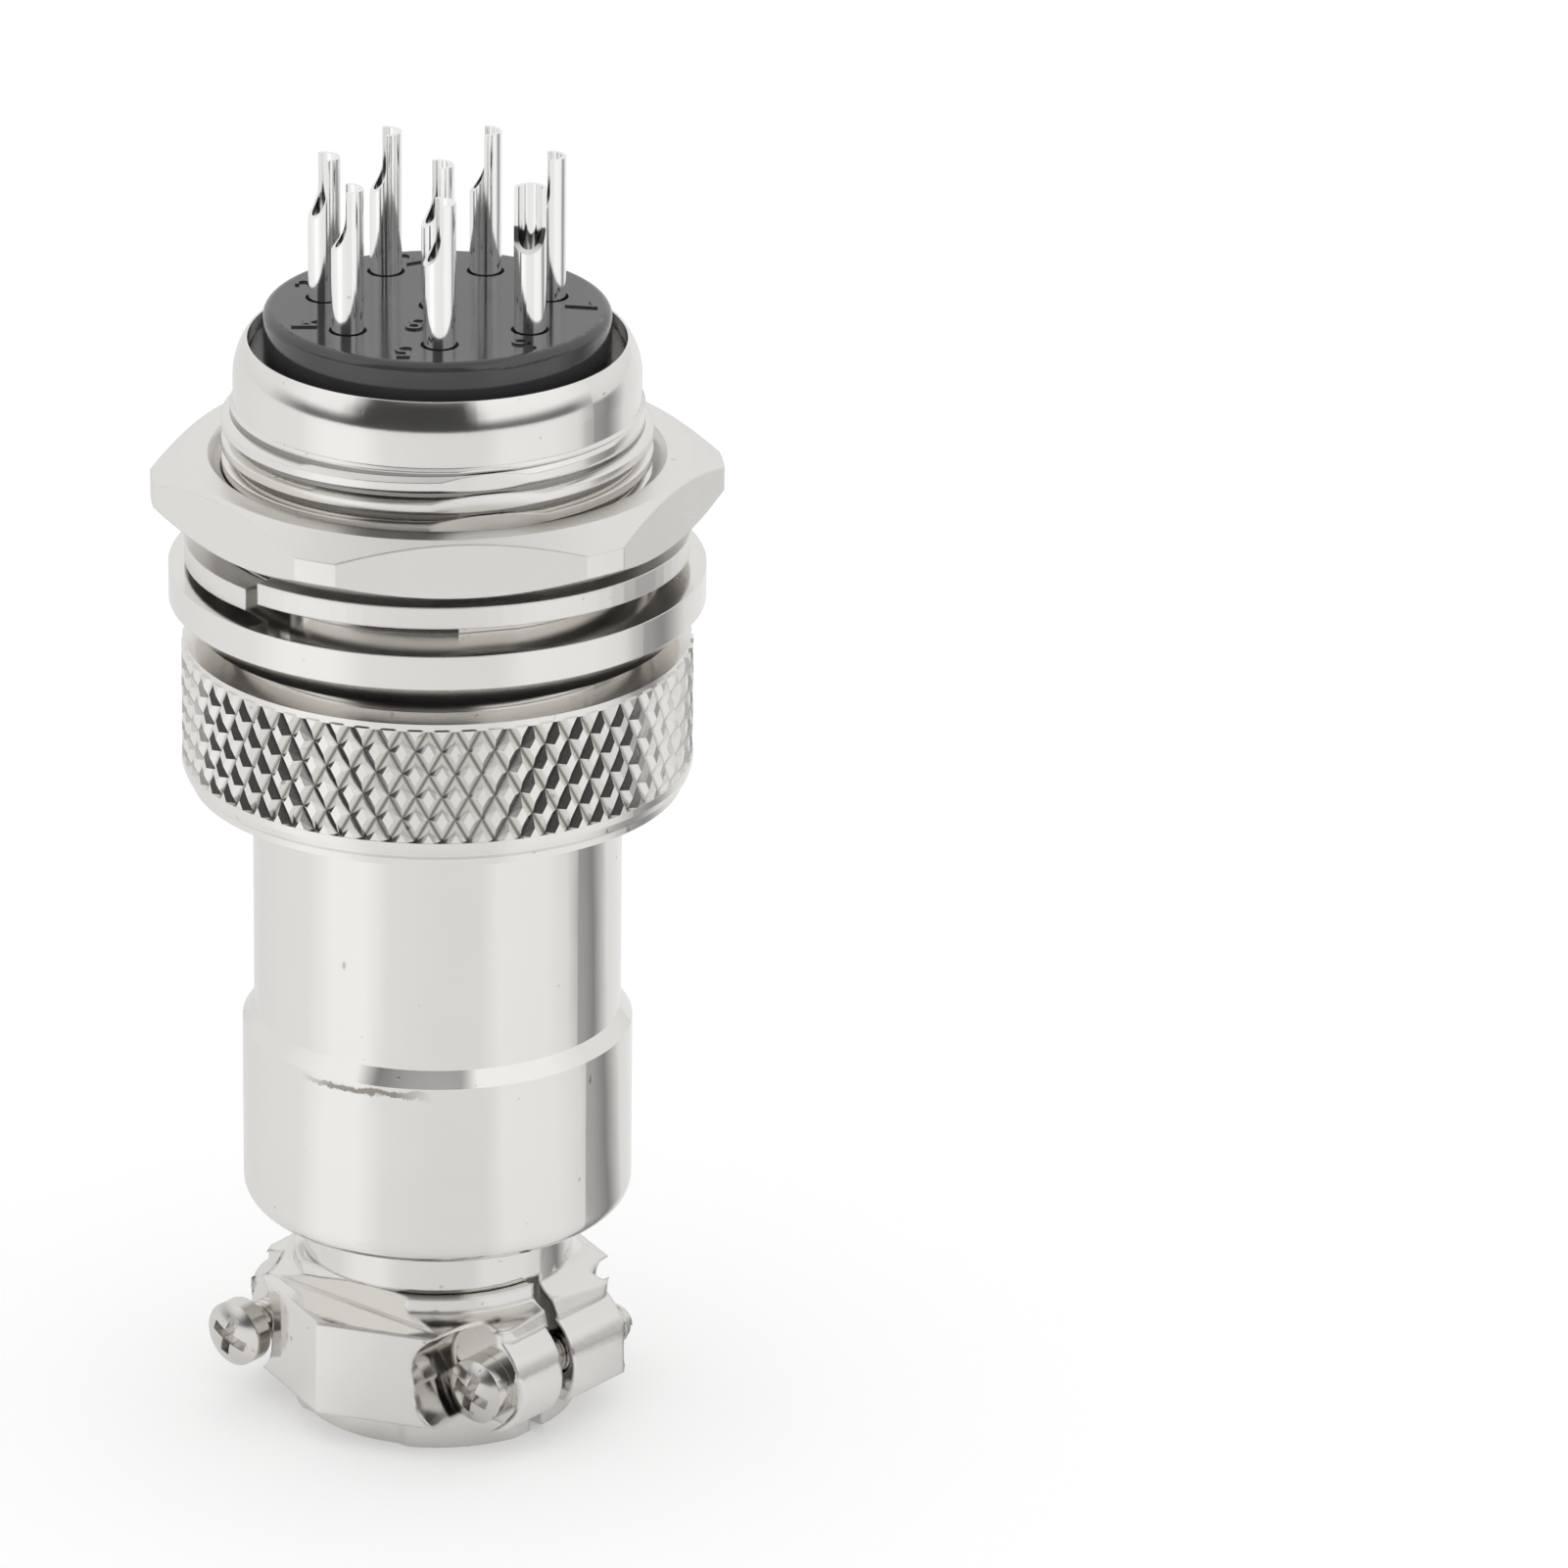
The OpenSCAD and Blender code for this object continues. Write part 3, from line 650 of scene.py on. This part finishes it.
@dataclass
class ThreadRidge:
    """Helical ridge of a right-hand thread that stands on a plain core.

    Attributes:
        name: The piece's name.
        body: The body that it rides on.
        slot: Name of a material slot. It is not used.
        start: Lower end of the thread on its axis, in mm.
        axis: Direction of the thread.
        core_r: Radius of the core, in mm.
        crest_r: Radius of the crest, in mm.
        pitch: Rise of one turn, in mm.
        turns: Number of turns.
        lead_out: Turns that the upper end fades out over.
        run_in: Turns that the lower end fades in over.
        flat: Distance of a flat from the axis in mm and its angle in degrees, if there is one.
        steps: Steps of one turn.
        root_half: Half of the ridge's width at the core, as a share of the pitch.
        crest_half: Half of its width at the crest, as a share of the pitch.
        bury: How deep its section stands in the core, in mm.
        sunk: How far below the core's face its faded ends lie, in mm.
    """

    name: str
    body: str
    slot: str
    start: tuple[float, float, float]
    axis: Axis
    core_r: float
    crest_r: float
    pitch: float
    turns: float
    lead_out: float = 0.4
    run_in: float = 0.5
    flat: tuple[float, float] | None = None
    steps: int = 96
    root_half: float = 0.41
    crest_half: float = 0.2
    bury: float = 0.04
    sunk: float = 0.03

    def outline(self) -> list[tuple[float, float]]:
        """Gives the ridge's section.

        Returns:
            Its radii and heights, in mm.
        """
        inner = self.core_r - self.bury
        root, crest = self.pitch * self.root_half, self.pitch * self.crest_half
        return [
            (inner, -root), (self.core_r, -root), (self.crest_r, -crest),
            (self.crest_r, crest), (self.core_r, root), (inner, root),
        ]

    def section(self, bm: bmesh.types.BMesh) -> bmesh.types.BMFace:
        """Makes the ridge's section in the plane of its axis.

        Args:
            bm: The mesh that it is made in.

        Returns:
            The section's face.
        """
        return bm.faces.new([bm.verts.new((x * MM, 0, z * MM)) for x, z in self.outline()])

    def fade_ends(self, bm: bmesh.types.BMesh) -> None:
        """Sinks both ends of the ridge into the core.

        Args:
            bm: The ridge, along +Z from the origin, one section after the other.
        """
        lowest = self.core_r - self.sunk
        reach = self.crest_r - self.core_r + self.sunk
        for index, vert in enumerate(bm.verts):
            turn = index // len(self.outline()) / self.steps
            share = min(turn / self.run_in, (self.turns - turn) / self.lead_out, 1.0)
            limit = lowest + reach * max(share, 0.0)
            radius = math.hypot(vert.co.x, vert.co.y) / MM
            scale = min(1.0, limit / radius)
            vert.co.x, vert.co.y = vert.co.x * scale, vert.co.y * scale

    def cut_flat(self, bm: bmesh.types.BMesh) -> None:
        """Cuts the ridge off where the flat is.

        Args:
            bm: The ridge, along +Z from the origin.
        """
        distance, angle = self.flat
        along = Vector((math.cos(math.radians(angle)), math.sin(math.radians(angle)), 0))
        bmesh.ops.bisect_plane(
            bm, geom=[*bm.verts, *bm.edges, *bm.faces], dist=MERGE_DISTANCE,
            plane_co=along * distance * MM, plane_no=along, clear_outer=True,
        )
        bmesh.ops.edgeloop_fill(bm, edges=[edge for edge in bm.edges if edge.is_boundary])

    def build(self, material: bpy.types.Material) -> bpy.types.Object:
        """Sweeps the ridge and puts it in place.

        Args:
            material: Its finish.

        Returns:
            The piece.
        """
        bm = bmesh.new()
        face = self.section(bm)
        bmesh.ops.spin(
            bm, geom=[face, *face.edges, *face.verts], cent=(0, 0, 0), axis=(0, 0, 1),
            dvec=(0, 0, self.pitch * MM / self.steps), angle=math.tau * self.turns,
            steps=round(self.steps * self.turns), use_duplicate=False,
        )
        self.fade_ends(bm)
        if self.flat:
            self.cut_flat(bm)
        if self.axis is Axis.BACK:
            lay_down = Matrix.Rotation(math.radians(-90), 3, "X")
            bmesh.ops.rotate(bm, verts=bm.verts[:], cent=(0, 0, 0), matrix=lay_down)
        bmesh.ops.translate(bm, verts=bm.verts[:], vec=[v * MM for v in self.start])
        return finish_mesh(bm, self.name, material, self.body)


@dataclass
class ContactDigits:
    """Small raised numbers beside the contacts, moulded in the socket insert.

    Attributes:
        top: Height of the insert's face, in mm.
        places: Where each number stands, in mm, with the angle that its head points to, in degrees.
        size: Height of a number, in mm.
        rise: How far the numbers stand out, in mm.
        type_scale: Size of the type for a number one high.
        curve_steps: Steps of each curve of a number.
    """

    top: float
    places: dict[str, tuple[float, float, float]]
    size: float = 1.5
    rise: float = 0.09
    type_scale: float = 1.35
    curve_steps: int = 3

    def solid(self, number: str) -> bmesh.types.BMesh:
        """Makes one number at the origin, with its head to +Y.

        Args:
            number: The number.

        Returns:
            Its shape.
        """
        curve = bpy.data.curves.new("number_" + number, "FONT")
        curve.body = number
        curve.size = self.size * MM * self.type_scale
        curve.extrude = self.rise * MM
        curve.resolution_u = self.curve_steps
        curve.align_x = "CENTER"
        curve.align_y = "CENTER"
        letter = bpy.data.objects.new("letter", curve)
        bpy.context.scene.collection.objects.link(letter)
        bpy.context.view_layer.update()
        mesh = letter.evaluated_get(bpy.context.evaluated_depsgraph_get()).to_mesh()
        bm = bmesh.new()
        bm.from_mesh(mesh)
        letter.to_mesh_clear()
        bpy.data.objects.remove(letter)
        bpy.data.curves.remove(curve)
        return bm

    def build(self, material: bpy.types.Material) -> list[bpy.types.Object]:
        """Makes one piece of each number.

        Args:
            material: The insert's finish.

        Returns:
            The pieces.
        """
        made = []
        for number, (x, y, head) in self.places.items():
            bm = self.solid(number)
            turn = Matrix.Rotation(math.radians(head - 90), 3, "Z")
            bmesh.ops.rotate(bm, verts=bm.verts[:], cent=(0, 0, 0), matrix=turn)
            bmesh.ops.translate(bm, verts=bm.verts[:], vec=(x * MM, y * MM, self.top * MM))
            made.append(finish_mesh(bm, f"contact_number_{number}", material, "socket"))
        return made


@dataclass(frozen=True)
class Room:
    """Grey levels of the surroundings, which only mirrored rays meet.

    Attributes:
        floor: Levels of the floor around the connector, 0.5 towards the front.
        front: Levels before the connector, from straight below to straight above.
        sides: The same, to its left and right.
        back: The same, behind it.
        ahead: How much of the front there is around the connector.
        behind: How much of the back there is around it.
    """

    floor: Stops = (
        (0.0, 0.75), (0.12, 0.78), (0.2, 0.84), (0.27, 0.86), (0.32, 1.0), (0.38, 1.0),
        (0.42, 0.84), (0.5, 0.8), (0.57, 0.8), (0.6, 0.92), (0.69, 0.9), (0.735, 0.8),
        (0.755, 0.45), (0.8, 0.25), (0.825, 0.5), (0.85, 0.8), (0.93, 0.85), (1.0, 0.75),
    )
    front: Stops = (
        (0.0, 0.8), (0.47, 0.8), (0.49, 0.06), (0.74, 0.05), (0.79, 0.5), (0.86, 0.62), (1.0, 0.62),
    )
    sides: Stops = (
        (0.0, 0.9), (0.485, 0.9), (0.5, 0.12), (0.54, 0.2), (0.6, 1.0), (0.8, 1.05), (0.9, 0.7), (1.0, 0.6),
    )
    back: Stops = ((0.0, 0.85), (0.5, 0.8), (0.56, 0.86), (0.8, 0.9), (1.0, 0.62))
    ahead: Stops = ((0.34, 0), (0.38, 1), (0.55, 1), (0.58, 0))
    behind: Stops = ((0.2, 1), (0.28, 0), (0.72, 0), (0.78, 1))


@dataclass
class Studio:
    """White floor, white surroundings with a few dark parts to mirror, and the camera.

    Attributes:
        azimuth: Side that the camera stands on, in degrees.
        distance: Level distance of the camera, in mm.
        height: Height of the camera, in mm.
        pitch: How far it looks down, in degrees.
        image_parts: Parts that the image's width is counted in.
        focal: Focal length, in these parts.
        axis_left: Distance of the connector's axis from the image's left side, in these parts.
        sensor: Width of the camera's sensor, in mm.
        clip: Nearest and farthest distance that the camera shows, in metres.
        floor_r: Radius of the floor, in metres.
        floor_sides: Sides of its round outline.
        floor_grey: Share of the light that the floor sends back.
        floor_glow: Light that the floor adds for the camera and for mirrors.
        streaks: How far streaks on the floor wander, as a share of the full circle.
    """

    azimuth: float = 41.0
    distance: float = 480.3
    height: float = 225.86
    pitch: float = 22.07
    image_parts: int = 1601
    focal: float = 11290.0
    axis_left: float = 446.8
    sensor: float = 36.0
    clip: tuple[float, float] = (0.02, 20.0)
    floor_r: float = 1.5
    floor_sides: int = 96
    floor_grey: float = 0.8
    floor_glow: float = 0.24
    streaks: float = 0.02

    def around(self, g: Graph, x: bpy.types.NodeSocket, y: bpy.types.NodeSocket) -> bpy.types.NodeSocket:
        """Turns a level direction into a share of the full circle, 0.5 towards the front.

        Args:
            g: The tree it is made in.
            x: The direction's X.
            y: Its Y.

        Returns:
            A value from 0 to 1, rising to the right of the front.
        """
        side = math.radians(self.azimuth)
        across = g.math("ADD", g.math("MULTIPLY", x, math.cos(side)), g.math("MULTIPLY", y, math.sin(side)))
        forward = g.math(
            "SUBTRACT", g.math("MULTIPLY", x, math.sin(side)), g.math("MULTIPLY", y, math.cos(side)),
        )
        return g.math("ADD", g.math("MULTIPLY", g.math("ARCTAN2", across, forward), 1 / math.tau), 0.5)

    def floor_material(self) -> bpy.types.Material:
        """Makes the floor look white, keep the connector's shadow and be clear from below.

        Returns:
            The floor's material.
        """
        material, g = blank_material("floor_white")
        place = g.position()
        x, y, _ = g.split(place)
        streaks = g.noise(place, STREAK_SCALE, 2, 0.6)
        share = g.math("ADD", self.around(g, x, y), g.sway(streaks, self.streaks))
        colour = g.mix(g.mirrored(), WHITE, g.ramp(share, Room().floor))
        diffuse = g.add("BsdfDiffuse")
        g.link(g.mix(1.0, colour, (*[self.floor_grey] * 3, 1), "MULTIPLY"), diffuse.inputs[0])
        glow = g.add("Emission")
        g.link(colour, glow.inputs[0])
        path = g.add("LightPath").outputs
        shown = g.math("MAXIMUM", path["Is Glossy Ray"], path["Is Transmission Ray"])
        shown = g.math("MAXIMUM", path["Is Camera Ray"], shown)
        g.link(g.math("MULTIPLY", shown, self.floor_glow), glow.inputs[1])
        both = g.add("AddShader")
        g.link(diffuse.outputs[0], both.inputs[0])
        g.link(glow.outputs[0], both.inputs[1])
        from_below = g.add("MixShader")
        g.link(g.add("NewGeometry").outputs["Backfacing"], from_below.inputs[0])
        g.link(both.outputs[0], from_below.inputs[1])
        g.link(g.add("BsdfTransparent").outputs[0], from_below.inputs[2])
        g.show(from_below.outputs[0])
        return material

    def build_floor(self) -> None:
        """Lays the floor, a plain disc under the connector."""
        bm = bmesh.new()
        bmesh.ops.create_circle(bm, cap_ends=True, segments=self.floor_sides, radius=self.floor_r)
        mesh = bpy.data.meshes.new("floor")
        bm.to_mesh(mesh)
        bm.free()
        mesh.materials.append(self.floor_material())
        floor = bpy.data.objects.new("floor", mesh)
        bpy.context.scene.collection.objects.link(floor)

    def build_world(self) -> None:
        """Surrounds the set with white, and with the room's darker parts for mirrored rays."""
        world = bpy.data.worlds.new("studio")
        bpy.context.scene.world = world
        world.use_nodes = True
        room = Room()
        g = Graph(world.node_tree)
        x, y, z = g.split(g.add("TexCoord").outputs["Generated"])
        share = self.around(g, x, y)
        rise = g.math("ADD", g.math("MULTIPLY", g.math("ARCSINE", z), 1 / math.pi), 0.5)
        sides = g.mix(g.ramp(share, room.ahead), g.ramp(rise, room.sides), g.ramp(rise, room.front))
        seen = g.mix(g.ramp(share, room.behind), sides, g.ramp(rise, room.back))
        sky = g.add("Background", in_Strength=1.0)
        g.link(g.mix(g.mirrored(), WHITE, seen), sky.inputs[0])
        g.link(sky.outputs[0], g.add("OutputWorld").inputs[0])

    def build_camera(self) -> None:
        """Places the camera so that the connector's axis stands upright in the image."""
        side, down = math.radians(self.azimuth), math.radians(self.pitch)
        towards = Vector((-math.sin(side) * math.cos(down), math.cos(side) * math.cos(down), -math.sin(down)))
        right = Vector((math.cos(side), math.sin(side), 0))
        above = right.cross(towards)
        turn = math.atan((self.image_parts / 2 - self.axis_left) / self.focal)
        towards, right = (
            towards * math.cos(turn) + right * math.sin(turn),
            right * math.cos(turn) - towards * math.sin(turn),
        )
        data = bpy.data.cameras.new("camera")
        data.sensor_width = self.sensor
        data.lens = self.focal / self.image_parts * self.sensor
        data.clip_start, data.clip_end = self.clip
        camera = bpy.data.objects.new("camera", data)
        basis = Matrix((right, above, -towards)).transposed().to_4x4()
        spot = Vector((math.sin(side) * self.distance, -math.cos(side) * self.distance, self.height)) * MM
        camera.matrix_world = Matrix.Translation(spot) @ basis
        bpy.context.scene.collection.objects.link(camera)
        bpy.context.scene.camera = camera

    def build(self) -> None:
        """Builds the whole studio."""
        self.build_floor()
        self.build_world()
        self.build_camera()
        bpy.context.scene.view_settings.view_transform = "Standard"


@dataclass
class Clamp:
    """Cable clamp: the fixed half with the neck, the loose half and two screws.

    Attributes:
        screw_core_r: Radius of a screw's core, in mm.
        screw_crest_r: Radius of its thread, in mm.
        screw_pitch: Pitch of that thread, in mm.
        screw_head: Length of a screw's head, in mm.
        screw_plain: Least length under the head that stays plain, in mm.
    """

    screw_core_r: float = 0.85
    screw_crest_r: float = 0.98
    screw_pitch: float = 0.4
    screw_head: float = 1.35
    screw_plain: float = 0.3

    def build_screw(self, side: str, finishes: Finishes) -> list[bpy.types.Object]:
        """Dresses one screw and threads it.

        Args:
            side: The screw's side, left or right.
            finishes: The shared finishes.

        Returns:
            The screw and its thread.
        """
        node = f"clamp_screw_{side}"
        screw = finishes.dress(finishes.screw, node)
        low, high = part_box(node)
        middle = (low + high) / 2 / MM
        length = (high.y - low.y) / MM - self.screw_head
        turns = math.floor((length - self.screw_plain) / self.screw_pitch)
        start = (middle.x, high.y / MM - turns * self.screw_pitch, middle.z)
        ridge = ThreadRidge(
            f"screw_thread_{side}", f"{side}_screw", "screw_nickel", start, Axis.BACK,
            self.screw_core_r, self.screw_crest_r, self.screw_pitch, turns, steps=24,
        )
        return [*screw, ridge.build(finishes.screw)]

    def build(self, finishes: Finishes) -> list[bpy.types.Object]:
        """Dresses the castings and threads the screws.

        Args:
            finishes: The shared finishes.

        Returns:
            The pieces.
        """
        castings = finishes.dress(finishes.cast, "clamp_body", "clamp_saddle")
        return [*castings, *self.build_screw("left", finishes), *self.build_screw("right", finishes)]


@dataclass
class Plug:
    """Cable plug: rear shell, core, insert, contacts and the coupling ring.

    Attributes:
        contacts: Number of contacts.
    """

    contacts: int = 8

    def build(self, finishes: Finishes) -> list[bpy.types.Object]:
        """Dresses the plug's nodes.

        Args:
            finishes: The shared finishes.

        Returns:
            The pieces.
        """
        numbers = range(1, self.contacts + 1)
        return [
            *finishes.dress(finishes.sleeve, "rear_shell"),
            *finishes.dress(finishes.turned, "plug_core_shell", "plug_snap_ring"),
            *finishes.dress(finishes.insert, "plug_insulator"),
            *finishes.dress(finishes.knurl, "coupling_ring"),
            *finishes.dress(finishes.contact, *[f"plug_contact_{number}" for number in numbers]),
        ]


@dataclass
class Socket:
    """Panel socket with its nut and lock washer.

    Attributes:
        contacts: Number of contacts.
        first_number: Number that the outer ring of contacts starts with.
        first_contact: Angle of that contact, in degrees.
        middle_number: Place of the middle contact's number, in mm, and angle of its head, in degrees.
        number_r: Radius that the other numbers stand on, in mm.
        number_turn: Angle from a contact back to its number, in degrees.
        thread_core_r: Radius of the panel thread's core, in mm.
        thread_crest_r: Radius of its crest, in mm.
        thread_pitch: Pitch of the thread, in mm.
        thread_length: Length of the panel thread, in mm.
        thread_short: How much shorter than the thread the ridge's middle line is, in mm.
        thread_below: How far below the thread's top that line ends, in mm.
        flat: Distance of its flat, in mm, and its angle, in degrees.
        rim_height: Height of the rim over it, in mm.
    """

    contacts: int = 8
    first_number: int = 5
    first_contact: float = -48.0
    middle_number: tuple[float, float, float] = (1.0, -2.6, -68.0)
    number_r: float = 6.5
    number_turn: float = 15.0
    thread_core_r: float = 9.6
    thread_crest_r: float = 10.0
    thread_pitch: float = 1.0
    thread_length: float = 8.0
    thread_short: float = 0.85
    thread_below: float = 0.45
    flat: tuple[float, float] = (9.62, -35.0)
    rim_height: float = 3.0

    def build_thread(self, finishes: Finishes) -> bpy.types.Object:
        """Threads the panel end of the shell.

        Args:
            finishes: The shared finishes.

        Returns:
            The thread's ridge.
        """
        _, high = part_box("socket_shell")
        top = high.z / MM - self.rim_height
        ridge_length = self.thread_length - self.thread_short
        ridge = ThreadRidge(
            "panel_thread", "socket", "satin_nickel", (0, 0, top - ridge_length - self.thread_below), Axis.UP,
            self.thread_core_r, self.thread_crest_r, self.thread_pitch, ridge_length / self.thread_pitch,
            flat=self.flat,
        )
        return ridge.build(finishes.rim)

    def build_numbers(self, finishes: Finishes) -> list[bpy.types.Object]:
        """Numbers the contacts on the insert's face.

        Args:
            finishes: The shared finishes.

        Returns:
            The numbers.
        """
        _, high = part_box("socket_insulator")
        ring = self.contacts - 1
        places = {str(self.contacts): self.middle_number}
        for step in range(ring):
            head = self.first_contact + 360 / ring * step
            place = math.radians(head - self.number_turn)
            number = str((self.first_number - 1 + step) % ring + 1)
            places[number] = (self.number_r * math.cos(place), self.number_r * math.sin(place), head)
        return ContactDigits(top=high.z / MM, places=places).build(finishes.insert)

    def build(self, finishes: Finishes) -> list[bpy.types.Object]:
        """Dresses the socket's nodes and adds its thread and numbers.

        Args:
            finishes: The shared finishes.

        Returns:
            The pieces.
        """
        numbers = range(1, self.contacts + 1)
        return [
            *finishes.dress(finishes.rim, "socket_shell"),
            *finishes.dress(finishes.insert, "socket_insulator"),
            *finishes.dress(finishes.turned, "lock_washer", "panel_nut"),
            *finishes.dress(finishes.contact, *[f"socket_contact_{number}" for number in numbers]),
            self.build_thread(finishes),
            *self.build_numbers(finishes),
        ]


def main() -> None:
    """Builds the studio and dresses each sub-assembly."""
    logging.basicConfig(level=logging.INFO, format="%(message)s")
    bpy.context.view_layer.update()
    Studio().build()
    finishes = Finishes()
    for assembly in (Clamp(), Plug(), Socket()):
        for piece in assembly.build(finishes):
            LOG.info("%s: %s", type(assembly).__name__.lower(), piece.name)


if __name__ == "__main__":
    main()
